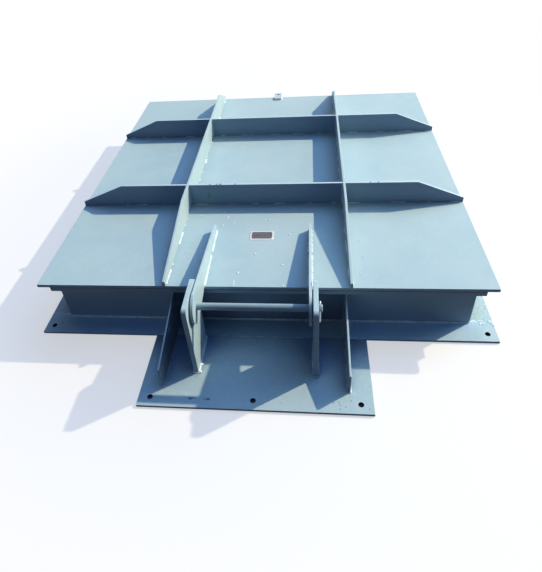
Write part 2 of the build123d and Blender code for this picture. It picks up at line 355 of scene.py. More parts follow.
def painted(name, wear, crest=0.0, shade=0.0, coarse=0.0, dirts_and_shades=(), marks=(), dots=(), dot_radius=2.2 * MM,
            dot_tone=HOLE_DARK, holes=None, shade_along_x=PAINTED_SHADE_ALONG_X, shade_along_y=PAINTED_SHADE_ALONG_Y, deep=UPRIGHT_PAINTED_SHADE):
    """Satin blue-grey paint on plate: clouded tone, dust on top, rubbed edges, chips, a fine orange peel and painted
    shade.

    wear is how much of the upper faces is rubbed pale, crest how pale narrow upper edges are as a whole, shade how
    much of the painted shade tone of the upright faces the upper ones take too, as a darker coat, coarse how mottled
    and uneven the coat is, and the corner layers the dust and painted shade that darken corners and places between
    plates that stand close together. Upright faces take a share of the painted shade tone, set apart for faces turned
    along
    X and along Y.
    """
    shader = Shader(name, Metallic=0.0, Specular_IOR_Level=0.12)
    cloud = shader.band(shader.noise(1.5, 4.0, 0.55), 0.30, 0.72)
    blotch = shader.band(shader.noise(9.0, 4.0, 0.6, shift=3.1), 0.35, 0.70)
    grain = shader.noise(190.0, 2.0, 0.6, shift=1.7)
    colour = shader.mix(cloud, PAINT_DEEP, PAINT)
    colour = shader.mix(shader.math("MULTIPLY", blotch, 0.45), colour, PAINT_PALE)
    colour = shader.mix(shader.math("MULTIPLY", shader.band(grain, 0.45, 0.75), 0.18), colour, PAINT_PALE)

    up = shader.band(shader.axis(shader.facing, 2), 0.3, 0.9)
    dust = shader.math("MULTIPLY", up, shader.band(shader.noise(2.6, 4.0, 0.55, shift=7.3), 0.42, 0.74))
    colour = shader.mix(shader.math("MULTIPLY", dust, 0.40), colour, (0.500, 0.612, 0.600, 1))
    # Painted shade: upright faces take the darker tone, most those turned along Y
    turned = shader.math("ABSOLUTE", shader.axis(shader.facing, 1))
    share = shader.add("ShaderNodeMapRange", {0: turned, 3: shade_along_x, 4: shade_along_y})
    upright_shade = shader.add("ShaderNodeMapRange", {0: up, 3: share, 4: shade})
    colour = shader.mix(upright_shade, colour, deep)
    if crest:
        uneven = shader.add("ShaderNodeMapRange", {0: shader.noise(12.0, 3.0, 0.6, shift=8.8), 3: 0.6, 4: 1.2})
        pale = shader.math("MULTIPLY", shader.math("MULTIPLY", up, crest), uneven)
        colour = shader.mix(pale, colour, PAINT_CREST)

    rubbed = shader.band(shader.noise(46.0, 4.0, 0.7, shift=5.9), 0.50, 0.66)
    rubbed = shader.math("MULTIPLY", shader.math("MULTIPLY", rubbed, up), wear)
    colour = shader.mix(rubbed, colour, PAINT_WORN)
    if coarse:
        lumpy = shader.noise(95.0, 4.0, 0.7, shift=6.6)
        colour = shader.mix(shader.math("MULTIPLY", shader.band(lumpy, 0.46, 0.36), coarse), colour, PAINT_SOILED)
        colour = shader.mix(shader.math("MULTIPLY", shader.band(lumpy, 0.56, 0.66), coarse), colour, PAINT_WORN)
    fleck = shader.specks(17.0, 3.0 * MM, 0.30)
    colour = shader.mix(shader.math("MULTIPLY", fleck, 0.8), colour, PAINT_WORN)
    if crest:
        nicks = shader.math("MULTIPLY", shader.specks(55.0, 3.4 * MM, 0.40, shift=4.7), up)
        colour = shader.mix(shader.math("MULTIPLY", nicks, 0.85), colour, PAINT_CREST)
        nicks = shader.math("MULTIPLY", shader.specks(50.0, 3.2 * MM, 0.22, shift=9.4), up)
        colour = shader.mix(shader.math("MULTIPLY", nicks, 0.7), colour, RUST)
    chip = shader.specks(24.0, 2.4 * MM, 0.16, shift=2.3)
    colour = shader.mix(shader.math("MULTIPLY", chip, 0.75), colour, RUST)
    for dirt_and_shade in dirts_and_shades:
        colour = soiled_and_shaded(shader, colour, dirt_and_shade)
    for mark in marks:
        colour = shader.mix(shader.math("MULTIPLY", smudge(shader, mark), 0.85), colour, mark.tone)
    if dots:
        colour = shader.mix(spots(shader, dots, dot_radius), colour, dot_tone)
    if holes:
        colour = shader.mix(bare_holes(shader, *holes), colour, HOLE_DARK)
    shader.set("Base Color", colour)

    rough = {"Value": shader.math("ADD", blotch, dust), "To Min": 0.36, "To Max": 0.58, "From Max": 1.6}
    shader.set("Roughness", shader.add("ShaderNodeMapRange", rough))
    sheet = shader.bump(shader.noise(3.2, 2.0, 0.4, shift=4.4), 2.0 * MM, 0.35)
    if coarse:
        sheet = shader.bump(lumpy, 1.2 * MM, coarse, sheet)
    peel = shader.bump(grain, 0.10 * MM, 0.6, sheet)
    shader.set("Normal", shader.bump(chip, -0.15 * MM, 1.0, peel))
    return shader.material


def weld_paint(name, dull, bright, gloss, dirt_and_shade=None):
    """Paint over weld beads: paler, partly as a painted glint, glossier, with painted shade on upright faces and soot
    at the edges of the runs.
    """
    shader = Shader(name, Metallic=0.0, Specular_IOR_Level=gloss)
    tone = shader.band(shader.noise(26.0, 3.0, 0.6), 0.35, 0.66)
    colour = shader.mix(tone, dull, bright)
    # Painted shade on the upright and downward faces of the beads
    upright_shade = shader.band(shader.axis(shader.facing, 2), 0.35, 0.05)
    colour = shader.mix(shader.math("MULTIPLY", upright_shade, 0.7), colour, WELD_SHADE)
    soot = shader.band(shader.noise(150.0, 2.0, 0.6, shift=2.0), 0.68, 0.76)
    colour = shader.mix(shader.math("MULTIPLY", soot, 0.4), colour, RUST)
    shader.set("Base Color", soiled_and_shaded(shader, colour, dirt_and_shade) if dirt_and_shade else colour)
    rough = {"Value": tone, "To Min": 0.24, "To Max": 0.40}
    shader.set("Roughness", shader.add("ShaderNodeMapRange", rough))
    shader.set("Normal", shader.bump(shader.noise(420.0, 2.0), 0.15 * MM, 0.5))
    return shader.material


def seal_rubber():
    """Matt black rubber with pale dust rubbed into it."""
    shader = Shader("seal_rubber", Metallic=0.0, Specular_IOR_Level=0.35)
    dust = shader.band(shader.noise(30.0, 4.0, 0.65), 0.45, 0.75)
    colour = shader.mix(dust, (0.022, 0.021, 0.021, 1), (0.072, 0.066, 0.060, 1))
    shader.set("Base Color", colour)
    rough = {"Value": dust, "To Min": 0.62, "To Max": 0.88}
    shader.set("Roughness", shader.add("ShaderNodeMapRange", rough))
    shader.set("Normal", shader.bump(shader.noise(260.0, 3.0, 0.6), 0.2 * MM, 0.6))
    return shader.material


def pin_steel():
    """Zinc-plated wire of the split pins, bright and a little chalky."""
    shader = Shader("pin_steel", Metallic=0.25)
    cloud = shader.band(shader.noise(220.0, 3.0, 0.6), 0.35, 0.65)
    shader.set("Base Color", shader.mix(cloud, (0.68, 0.77, 0.88, 1), (0.84, 0.93, 1.00, 1)))
    rough = {"Value": cloud, "To Min": 0.34, "To Max": 0.52}
    shader.set("Roughness", shader.add("ShaderNodeMapRange", rough))
    shader.set("Normal", shader.bump(shader.noise(900.0, 2.0), 0.05 * MM, 0.4))
    return shader.material


def plate_metal(centre, half_width, half_depth):
    """Brushed metal nameplate with a blank dark field inside a bright rim."""
    shader = Shader("plate_metal", Specular_IOR_Level=0.5)
    brushed = shader.noise(60.0, 3.0, 0.7, place=shader.stretch((1.0, 26.0, 1.0)))
    spot = shader.move(shader.place, (-centre.x, -centre.y, 0))
    rim, corner = 8.0 * MM, 10.0 * MM
    beside = shader.math("SUBTRACT", shader.math("ABSOLUTE", shader.axis(spot, 0)), half_width - rim - corner)
    before = shader.math("SUBTRACT", shader.math("ABSOLUTE", shader.axis(spot, 1)), half_depth - rim - corner)
    beside, before = shader.math("MAXIMUM", beside, 0.0), shader.math("MAXIMUM", before, 0.0)
    away = shader.math("SQRT", shader.math("ADD", shader.math("POWER", beside, 2.0), shader.math("POWER", before, 2.0)))
    field = shader.band(away, corner + 0.4 * MM, corner - 0.4 * MM)
    metal = shader.mix(brushed, (0.66, 0.67, 0.67, 1), (0.86, 0.86, 0.85, 1))
    worn = shader.band(shader.noise(70.0, 4.0, 0.7, shift=1.1), 0.30, 0.62)
    enamel = shader.mix(worn, (0.160, 0.150, 0.180, 1), (0.085, 0.080, 0.105, 1))
    shader.set("Base Color", shader.mix(field, metal, enamel))
    shader.set("Metallic", shader.band(field, 0.6, 0.4))
    rough = {"Value": brushed, "To Min": 0.30, "To Max": 0.48}
    shader.set("Roughness", shader.add("ShaderNodeMapRange", rough))
    groove = shader.bump(field, -0.3 * MM, 1.0)
    shader.set("Normal", shader.bump(brushed, 0.04 * MM, 0.5, groove))
    return shader.material


def dress(node, material):
    """Gives a CAD node its material and a small rounding of its edges."""
    piece = nodes[node]
    piece.data.materials.clear()
    piece.data.materials.append(material)
    weld = piece.modifiers.new("join_corners", "WELD")
    weld.merge_threshold = 0.01 * MM
    flat = piece.modifiers.new("flat_faces", "DECIMATE")
    flat.decimate_type = "DISSOLVE"
    flat.angle_limit = math.radians(1)
    edge = piece.modifiers.new("soft_edges", "BEVEL")
    edge.width = 1.2 * MM
    edge.segments = 2
    edge.limit_method = "ANGLE"
    edge.angle_limit = math.radians(50)
    edge.use_clamp_overlap = True
    even = piece.modifiers.new("even_shading", "WEIGHTED_NORMAL")
    even.keep_sharp = False


# Mesh pieces


def mesh_piece(name, points, faces, material, smooth=True):
    """A new object from points and faces."""
    mesh = bpy.data.meshes.new(name)
    mesh.from_pydata([tuple(p) for p in points], [], faces)
    mesh.validate()
    mesh.materials.append(material)
    if smooth:
        mesh.shade_smooth()
    piece = bpy.data.objects.new(name, mesh)
    bpy.context.scene.collection.objects.link(piece)
    return piece


Bead = namedtuple("Bead", "start end first second size flat")


def fillet(start, end, first, second, size=LIGHT_LEG):
    """A bead in the corner of two plates; first and second lead away from the corner along the plates."""
    return Bead(Vector(start), Vector(end), first, second, size, False)


def seam(start, end, across, out, size=SEAM_WIDTH):
    """A low bead over a butt joint in a flat face."""
    return Bead(Vector(start), Vector(end), across, out, size, True)


def bead_section(bead, swell):
    """The cross-section of a bead as (offset, share across) pairs, from one toe to the other."""
    section = []
    if bead.flat:
        for i in range(FILLET_SIDES + 1):
            turn = math.pi * i / FILLET_SIDES
            side = bead.first * (math.cos(turn) * bead.size / 2)
            rise = bead.second * (math.sin(turn) * SEAM_HEIGHT * swell - BEAD_SINK)
            section.append((side + rise, 1 - abs(2 * i / FILLET_SIDES - 1)))
        return section
    for i in range(FILLET_SIDES + 1):
        turn = math.pi / 2 * i / FILLET_SIDES
        reach = bead.size * swell * (1 - 0.24 * math.sin(2 * turn))
        offset = bead.first * (math.cos(turn) * reach) + bead.second * (math.sin(turn) * reach)
        section.append((offset, 1 - abs(2 * i / FILLET_SIDES - 1)))
    section.append((-(bead.first + bead.second) * BEAD_SINK, 0))
    return section


def bead_mesh(bead, rng, points, faces):
    """Adds one rippled bead with rounded ends to the lists of points and faces."""
    run = bead.end - bead.start
    length = run.length
    along = run.normalized()
    steps = max(6, round(length / BEAD_STEP))
    seed = rng.uniform(0, 1000)
    rings = []
    for i in range(steps + 1):
        t = length * i / steps
        from_end = min(t, length - t) / bead.size
        taper = math.sqrt(min(1.0, 0.12 + from_end))
        ripple = abs(math.sin(math.pi * t / RIPPLE_PITCH + seed))
        wander = noise.noise(Vector((t * 24, seed, 0)))
        swell = taper * (1 - RIPPLE_DEPTH * ripple + 0.10 * wander)
        ring = []
        for offset, share in bead_section(bead, swell):
            bow = along * (share * RIPPLE_BOW * RIPPLE_PITCH * min(1.0, from_end))
            ring.append(len(points))
            points.append(bead.start + along * t + offset + bow)
        rings.append(ring)
    count = len(rings[0])
    for ring, following in zip(rings, rings[1:]):
        for k in range(count):
            n = (k + 1) % count
            faces.append((ring[k], ring[n], following[n], following[k]))
    faces.append(tuple(reversed(rings[0])))
    faces.append(tuple(rings[-1]))


def weld_piece(name, beads, body, material, seed):
    """All the beads of one kind as one piece on a body."""
    rng = random.Random(seed)
    points, faces = [], []
    for bead in beads:
        bead_mesh(bead, rng, points, faces)
    piece = mesh_piece(name, points, faces, material)
    outward = bmesh.new()
    outward.from_mesh(piece.data)
    bmesh.ops.recalc_face_normals(outward, faces=outward.faces)
    outward.to_mesh(piece.data)
    outward.free()
    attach(piece, body)
    return piece


def stitches(bead, rng, shortest=18 * MM, longest=105 * MM):
    """Cuts a long bead into separate stitches of uneven length and weight, with gaps between them."""
    run = bead.end - bead.start
    along = run.normalized()
    cut = []
    t = rng.uniform(5, 60) * MM
    while t < run.length - 20 * MM:
        stop = min(run.length - 3 * MM, t + rng.uniform(shortest, longest))
        size = bead.size * rng.uniform(0.7, 1.15)
        cut.append(bead._replace(start=bead.start + along * t, end=bead.start + along * stop, size=size))
        t = stop + rng.uniform(40, 150) * MM
    return cut


def seen_stitches(bead, spans, rng):
    """Stitches on the line of a bead at given places along X or Y, in millimetres."""
    along = (bead.end - bead.start).normalized()
    cut = []
    for start, end in spans:
        ends = [bead.start + along * (place * MM - bead.start.dot(along)) for place in (start, end)]
        cut.append(bead._replace(start=ends[0], end=ends[1], size=bead.size * rng.uniform(0.8, 1.2)))
    return cut


def around(outer, z, first_sign, second, make, size):
    """Four beads round the outside of a square of half width outer, at height z."""
    beads = []
    for out, along in ((-Y, X), (Y, X), (-X, Y), (X, Y)):
        middle = out * outer + Z * z
        beads.append(make(middle - along * outer, middle + along * outer, out * first_sign, second, size))
    return beads


def box_welds():
    """Foot of the box on the flange, and the rim on top of the walls; gussets interrupt the hinge side."""
    foot = high("mounting_flange_hinge").z
    rim = low("seat_rim_hinge").z
    outer = high("box_wall_right").x
    beads = []
    for z, second in ((foot, Z), (rim, -Z)):
        ring = around(outer, z, 1, second, fillet, HEAVY_LEG)
        front = ring.pop(0)
        beads += ring
        stops = [-outer, low("base_gusset_left").x, high("base_gusset_left").x]
        stops += [low("base_gusset_right").x, high("base_gusset_right").x, outer]
        for start, end in zip(stops[::2], stops[1::2]):
            beads.append(front._replace(start=Vector((start, -outer, z)), end=Vector((end, -outer, z))))
    return beads


def box_corner_seams():
    """Upright seams where the side walls meet the walls that run full width."""
    foot, rim = high("mounting_flange_hinge").z, low("seat_rim_hinge").z
    outer = high("box_wall_right").x
    inner = high("box_wall_left").y
    beads = []
    for x in (-outer, outer):
        for y in (-inner, inner):
            out = X if x > 0 else -X
            beads.append(seam((x, y, foot + HEAVY_LEG), (x, y, rim - HEAVY_LEG), Y, out))
    return beads


def flange_seams():
    """Butt joints between the flange bars beside the box, and between the flange and the base plate."""
    top = high("mounting_flange_hinge").z
    joint = high("mounting_flange_left").y
    outer, wall = high("mounting_flange_right").x, high("box_wall_right").x
    rng = random.Random(7)
    beads = []
    for side in (-1, 1):
        for y in (-joint, joint):
            whole = seam((side * (wall + HEAVY_LEG), y, top), (side * (outer - 2 * MM), y, top), Y, Z)
            beads += seen_stitches(whole, SEEN_SEAM, rng) if side == 1 and y < 0 else [whole]
    y = low("mounting_flange_hinge").y
    half = high("hinge_base_plate").x
    stops = [-half + 2 * MM, low("base_gusset_left").x, high("base_gusset_left").x]
    stops += [low("base_gusset_right").x, high("base_gusset_right").x, half - 2 * MM]
    for start, end in zip(stops[::2], stops[1::2]):
        beads.append(seam((start, y, top), (end, y, top), Y, Z, 6.5 * MM))
    return beads


def upright_foot(node, z, start_y, end_y, size):
    """Fillets along both sides of a plate that stands across X on a flat plate."""
    left, right = low(node).x, high(node).x
    return [
        fillet((left, start_y, z), (left, end_y, z), -X, Z, size),
        fillet((right, start_y, z), (right, end_y, z), X, Z, size),
    ]


def across_foot(node, y, out, z, size):
    """A short fillet across the end of a plate that stands across X."""
    return fillet((low(node).x - size / 2, y, z), (high(node).x + size / 2, y, z), out, Z, size)


def gusset_welds():
    """Feet of the gussets, and their back edges on the wall."""
    top = high("mounting_flange_hinge").z
    wall = low("box_wall_hinge").y
    rim = low("seat_rim_hinge").z
    beads = []
    for side in ("left", "right"):
        gusset = f"base_gusset_{side}"
        beads += upright_foot(gusset, top, low(gusset).y, wall, LIGHT_LEG)
        beads.append(across_foot(gusset, low(gusset).y, -Y, top, LIGHT_LEG))
        for x, out in ((low(gusset).x, -X), (high(gusset).x, X)):
            beads.append(fillet((x, wall, top), (x, wall, rim), out, -Y, LIGHT_LEG))
    return beads


def bracket_welds(side):
    """Heavy beads all round the foot of a bracket."""
    top = high("hinge_base_plate").z
    bracket = f"hinge_bracket_{side}"
    beads = upright_foot(bracket, top, low(bracket).y, high(bracket).y, HEAVY_LEG)
    beads.append(across_foot(bracket, low(bracket).y, -Y, top, HEAVY_LEG))
    beads.append(across_foot(bracket, high(bracket).y, Y, top, HEAVY_LEG))
    return beads


def arm_welds():
    """Feet of the hinge arms on the leaf, nearly continuous, and the short runs on the leaf's edge."""
    top, bottom = high("leaf_plate").z, low("leaf_plate").z
    edge = low("leaf_plate").y
    beads = []
    for side in ("left", "right"):
        arm = f"hinge_arm_{side}"
        tail = high(arm).y
        gap = tail - 175 * MM
        for start, end in ((edge + 4 * MM, gap - 9 * MM), (gap + 9 * MM, tail)):
            beads += upright_foot(arm, top, start, end, HEAVY_LEG)
        beads.append(across_foot(arm, tail, Y, top, LIGHT_LEG))
        for x, out in ((low(arm).x, -X), (high(arm).x, X)):
            beads.append(fillet((x, edge, bottom), (x, edge, top), out, -Y, LIGHT_LEG))
    return beads


def rib_welds():
    """Stitches along the feet of the long ribs."""
    rng = random.Random(11)
    leaf = high("leaf_plate")
    beads = []
    crossings = [low(f"cross_rib_{name}_centre").y for name in ("near", "far")]
    crossings = [(y, high(f"cross_rib_{name}_centre").y) for y, name in zip(crossings, ("near", "far"))]
    stops = [-leaf.y + 6 * MM, *crossings[0], *crossings[1], leaf.y - 6 * MM]
    for side in ("left", "right"):
        rib = f"long_rib_{side}"
        for start, end in zip(stops[::2], stops[1::2]):
            for bead, face in zip(upright_foot(rib, leaf.z, start, end, LIGHT_LEG), ("left", "right")):
                spans = SEEN_STITCHES.get((rib, face))
                inside = [span for span in spans or () if start <= span[0] * MM and span[1] * MM <= end]
                beads += seen_stitches(bead, inside, rng) if spans else stitches(bead, rng)
    return beads


def cross_rib_welds():
    """Stitches along the feet of the cross ribs, and upright fillets where the ribs cross."""
    rng = random.Random(13)
    leaf = high("leaf_plate")
    beads = []
    for name in ("near", "far"):
        for part in ("left", "centre", "right"):
            rib = f"cross_rib_{name}_{part}"
            lo, hi = low(rib), high(rib)
            for y, out, face in ((lo.y, -Y, "front"), (hi.y, Y, "back")):
                whole = fillet((lo.x + 6 * MM, y, leaf.z), (hi.x - 6 * MM, y, leaf.z), out, Z, THIN_LEG)
                spans = SEEN_STITCHES.get((rib, face))
                beads += seen_stitches(whole, spans, rng) if spans else stitches(whole, rng)
                if part != "left":
                    beads.append(fillet((lo.x, y, leaf.z), (lo.x, y, hi.z - 4 * MM), X, out))
                if part != "right":
                    beads.append(fillet((hi.x, y, leaf.z), (hi.x, y, hi.z - 4 * MM), -X, out))
    return beads


def lug_welds():
    """A bead round the part of the lug that lies on the leaf."""
    lo, hi = low("lifting_lug"), high("lifting_lug")
    edge, z = high("leaf_plate").y, lo.z
    return [
        fillet((lo.x, lo.y, z), (lo.x, edge - 3 * MM, z), -X, Z),
        fillet((hi.x, lo.y, z), (hi.x, edge - 3 * MM, z), X, Z),
        fillet((lo.x, lo.y, z), (hi.x, lo.y, z), -Y, Z),
    ]


def backing_welds():
    """Stitches under the leaf, along both edges of the ring of seal backing bars."""
    rng = random.Random(23)
    z = low("leaf_plate").z
    outer, inner = high("seal_backing_right").x, low("seal_backing_right").x
    beads = []
    for half, sign in ((outer, 1), (inner, -1)):
        for bead in around(half, z, sign, -Z, fillet, LIGHT_LEG):
            inset = (bead.end - bead.start).normalized() * 12 * MM
            beads += stitches(bead._replace(start=bead.start + inset, end=bead.end - inset), rng)
    return beads


def tack_marks():
    """Ground remains of two tacks at the hinge edge of the leaf."""
    edge, z = low("leaf_plate").y, high("leaf_plate").z
    marks = []
    for x, length in ((-99 * MM, 38 * MM), (116 * MM, 14 * MM)):
        marks.append(seam((x, edge + 3 * MM, z), (x, edge + 3 * MM + length, z), X, Z, 5 * MM))
    return marks


def spatter(name, beads, plates, body, material, count, seed):
    """Small drops of weld spatter on the flat plates beside the beads."""
    rng = random.Random(seed)
    flat = [b for b in beads if b.second.z > 0.5 and (b.end - b.start).length > 20 * MM]
    edge = 8 * MM
    drops = bmesh.new()
    while len(drops.verts) < 12 * count:
        bead = rng.choice(flat)
        t = rng.random()
        away = bead.size + rng.expovariate(1 / (28 * MM))
        spot = bead.start.lerp(bead.end, t) + bead.first * away
        size = rng.uniform(0.8, 2.2) * MM
        corners = [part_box(plate) for plate in plates]
        if not any(lo.x + edge < spot.x < hi.x - edge and lo.y + edge < spot.y < hi.y - edge for lo, hi in corners):
            continue
        shape = Matrix.Translation(spot) @ Matrix.Diagonal((1, 1, 0.55, 1))
        bmesh.ops.create_icosphere(drops, subdivisions=1, radius=size, matrix=shape)
    mesh = bpy.data.meshes.new(name)
    drops.to_mesh(mesh)
    drops.free()
    mesh.materials.append(material)
    mesh.shade_smooth()
    piece = bpy.data.objects.new(name, mesh)
    bpy.context.scene.collection.objects.link(piece)
    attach(piece, body)
    return piece


def lumps(name, places, plate, smallest, largest, body, material, seed, rise=0.4):
    """Uneven lumps on the top of a plate, at places in millimetres; rise is how high they are for their width."""
    rng = random.Random(seed)
    top = high(plate).z
    drops = bmesh.new()
    for x, y in places:
        size = rng.uniform(smallest, largest)
        turn = Matrix.Rotation(rng.uniform(0, math.pi), 4, "Z")
        shape = Matrix.Translation((x * MM, y * MM, top)) @ turn @ Matrix.Diagonal((1, rng.uniform(0.7, 1.5), rise, 1))
        made = bmesh.ops.create_icosphere(drops, subdivisions=2, radius=size, matrix=shape)
        for corner in made["verts"]:
            corner.co += 0.3 * size * noise.noise_vector(corner.co * 160) * Vector((1, 1, 0.5))
    mesh = bpy.data.meshes.new(name)
    drops.to_mesh(mesh)
    drops.free()
    mesh.materials.append(material)
    mesh.shade_smooth()
    piece = bpy.data.objects.new(name, mesh)
    bpy.context.scene.collection.objects.link(piece)
    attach(piece, body)


def split_pin(side, material):
    """A split pin of half-round wire: two legs side by side, an open eye, and tips that spread a little."""
    node = f"cotter_pin_{side}"
    lo, hi = low(node), high(node)
    middle_x, middle_y = (lo.x + hi.x) / 2, (lo.y + hi.y) / 2
    wire = (hi.x - lo.x) / 2
    eye_reach = (hi.y - lo.y) / 2
    inner = eye_reach - wire
    eye = hi.z - eye_reach
    crotch = eye - 1.75 * inner
    leave = math.radians(42)

    half = [Vector((0, 1.2 * MM, lo.z)), Vector((0, 0.5 * MM, lo.z + 5 * MM)), Vector((0, 0.1 * MM, lo.z + 12 * MM))]
    half += [Vector((0, 0.05 * MM, lo.z + 12 * MM + (crotch - lo.z - 12 * MM) * i / 6)) for i in range(1, 7)]
    start, end = half[-1], Vector((0, inner * math.sin(leave), eye - inner * math.cos(leave)))
    lift = Vector((0, 0, (end - start).length * 0.45))
    sweep = Vector((0, math.cos(leave), math.sin(leave))) * (end - start).length * 0.35
    for i in range(1, 6):
        t = i / 5
        a, b = start.lerp(start + lift, t), (start + lift).lerp(end - sweep, t)
        c = (end - sweep).lerp(end, t)
        half.append(a.lerp(b, t).lerp(b.lerp(c, t), t))
    turns = 14
    for i in range(1, turns + 1):
        turn = leave + (math.pi - leave) * i / turns
        half.append(Vector((0, inner * math.sin(turn), eye - inner * math.cos(turn))))
    mirrored = [Vector((0, -p.y, p.z)) for p in reversed(half[:-1])]
    path = half + mirrored

    points, faces, sides = [], [], 8
    for i, spot in enumerate(path):
        before, after = path[max(0, i - 1)], path[min(len(path) - 1, i + 1)]
        along = (after - before).normalized()
        out = Vector((0, along.z, -along.y))
        for k in range(sides + 1):
            turn = math.pi * k / sides
            offset = X * (math.cos(turn) * wire * 0.97) + out * (math.sin(turn) * wire * 0.97)
            points.append(Vector((middle_x, middle_y, 0)) + spot + offset)
    ring = sides + 1
    for i in range(len(path) - 1):
        for k in range(ring):
            n = (k + 1) % ring
            faces.append((i * ring + k, i * ring + n, (i + 1) * ring + n, (i + 1) * ring + k))
    faces.append(tuple(range(ring)))
    faces.append(tuple(reversed(range(len(points) - ring, len(points)))))
    piece = mesh_piece(f"split_pin_{side}", points, faces, material)
    outward = bmesh.new()
    outward.from_mesh(piece.data)
    bmesh.ops.recalc_face_normals(outward, faces=outward.faces)
    outward.to_mesh(piece.data)
    outward.free()
    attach(piece, "frame")
    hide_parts(node)
    return piece


def rivets(material):
    """Four domed rivets in the corners of the nameplate."""
    lo, hi = low("nameplate"), high("nameplate")
    inset, radius, rise = 6.0 * MM, 3.0 * MM, 1.4 * MM
    rings, sides = 4, 16
    points, faces = [], []
    for x in (lo.x + inset, hi.x - inset):
        for y in (lo.y + inset, hi.y - inset):
            first = len(points)
            for i in range(rings):
                turn = math.pi / 2 * i / rings
                for k in range(sides):
                    spin = math.tau * k / sides
                    reach = radius * math.cos(turn)
                    points.append((x + reach * math.cos(spin), y + reach * math.sin(spin), hi.z + rise * math.sin(turn)))
            points.append((x, y, hi.z + rise))
            for i in range(rings - 1):
                for k in range(sides):
                    n = (k + 1) % sides
                    a, b = first + i * sides, first + (i + 1) * sides
                    faces.append((a + k, a + n, b + n, b + k))
            last = first + (rings - 1) * sides
            faces += [(last + k, last + (k + 1) % sides, len(points) - 1) for k in range(sides)]
            faces.append(tuple(reversed(range(first, first + sides))))
    piece = mesh_piece("nameplate_rivets", points, faces, material)
    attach(piece, "flap")
    return piece


# Stage


def look_at(thing, place, aim):
    """Puts a lamp at a place and turns it towards a point."""
    thing.location = place
    thing.rotation_euler = (aim - place).to_track_quat("-Z", "Y").to_euler()


def softbox(name, place, aim, size, watts, colour):
    """A square soft lamp."""
    lamp = bpy.data.lights.new(name, "AREA")
    lamp.shape = "SQUARE"
    lamp.size = size
    lamp.energy = watts
    lamp.color = colour
    thing = bpy.data.objects.new(name, lamp)
    bpy.context.scene.collection.objects.link(thing)
    look_at(thing, place, aim)


class Graph:
    """A node tree of the stage, emptied, and a short way to add nodes to it."""

    def __init__(self, owner):
        owner.use_nodes = True
        self.tree = owner.node_tree
        self.tree.nodes.clear()

    def add(self, kind, inputs=(), output=0, **settings):
        """Adds a node, fills its inputs with values or other nodes' outputs, and gives one output."""
        node = self.tree.nodes.new(kind)
        for key, value in settings.items():
            setattr(node, key, value)
        for socket, value in dict(inputs).items():
            if isinstance(value, bpy.types.NodeSocket):
                self.tree.links.new(value, node.inputs[socket])
            else:
                node.inputs[socket].default_value = value
        return node.outputs[output] if node.outputs else None

    def math(self, operation, a, b=0.0):
        """Arithmetic on two values."""
        return self.add("ShaderNodeMath", {0: a, 1: b}, operation=operation)

    def seen(self):
        """1 on rays from the camera, off a gloss or through glass, and 0 on the rays that carry light."""
        path = self.tree.nodes.new("ShaderNodeLightPath")
        shown = self.math("MAXIMUM", path.outputs["Is Camera Ray"], path.outputs["Is Glossy Ray"])
        return self.math("MAXIMUM", shown, path.outputs["Is Transmission Ray"])


def world():
    """Soft light from one broad patch of the sky, and white where the camera or a reflection sees past the floor."""
    studio = bpy.data.worlds.new("studio")
    bpy.context.scene.world = studio
    graph = Graph(studio)
    direction = graph.add("ShaderNodeTexCoord", output="Generated")
    aligned = {0: direction, 1: tuple(SKY_AXIS)}
    near = graph.add("ShaderNodeVectorMath", aligned, "Value", operation="DOT_PRODUCT")
    patch = graph.add("ShaderNodeMapRange", {0: near, 1: SKY_FROM, 2: SKY_FULL}, interpolation_type="SMOOTHSTEP")
    tone = graph.add("ShaderNodeMix", {0: patch, 6: SKY_DIM, 7: SKY_BRIGHT}, 2, data_type="RGBA")
    light = graph.add("ShaderNodeBackground", {"Color": tone})
    white = graph.add("ShaderNodeBackground", {"Color": (1, 1, 1, 1)})
    graph.add("ShaderNodeOutputWorld", {0: graph.add("ShaderNodeMixShader", {0: graph.seen(), 1: light, 2: white})})


def covered(graph, place):
    """1 on the floor under the mounting flange and the base plate, where only their holes let it show."""
    across = graph.math("ABSOLUTE", graph.add("ShaderNodeSeparateXYZ", {0: place}, 0))
    along = graph.add("ShaderNodeSeparateXYZ", {0: place}, 1)
    square = graph.math("MAXIMUM", across, graph.math("ABSOLUTE", along))
    inside = graph.math("LESS_THAN", square, high("mounting_flange_right").x - MM)
    ring = graph.math("MULTIPLY", graph.math("GREATER_THAN", square, low("box_wall_right").x), inside)
    lo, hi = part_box("hinge_base_plate")
    depth = graph.math("ABSOLUTE", graph.math("SUBTRACT", along, (lo.y + hi.y) / 2))
    before = graph.math("LESS_THAN", depth, (hi.y - lo.y) / 2 - MM)
    plate = graph.math("MULTIPLY", graph.math("LESS_THAN", across, hi.x - MM), before)
    return graph.math("MAXIMUM", ring, plate)


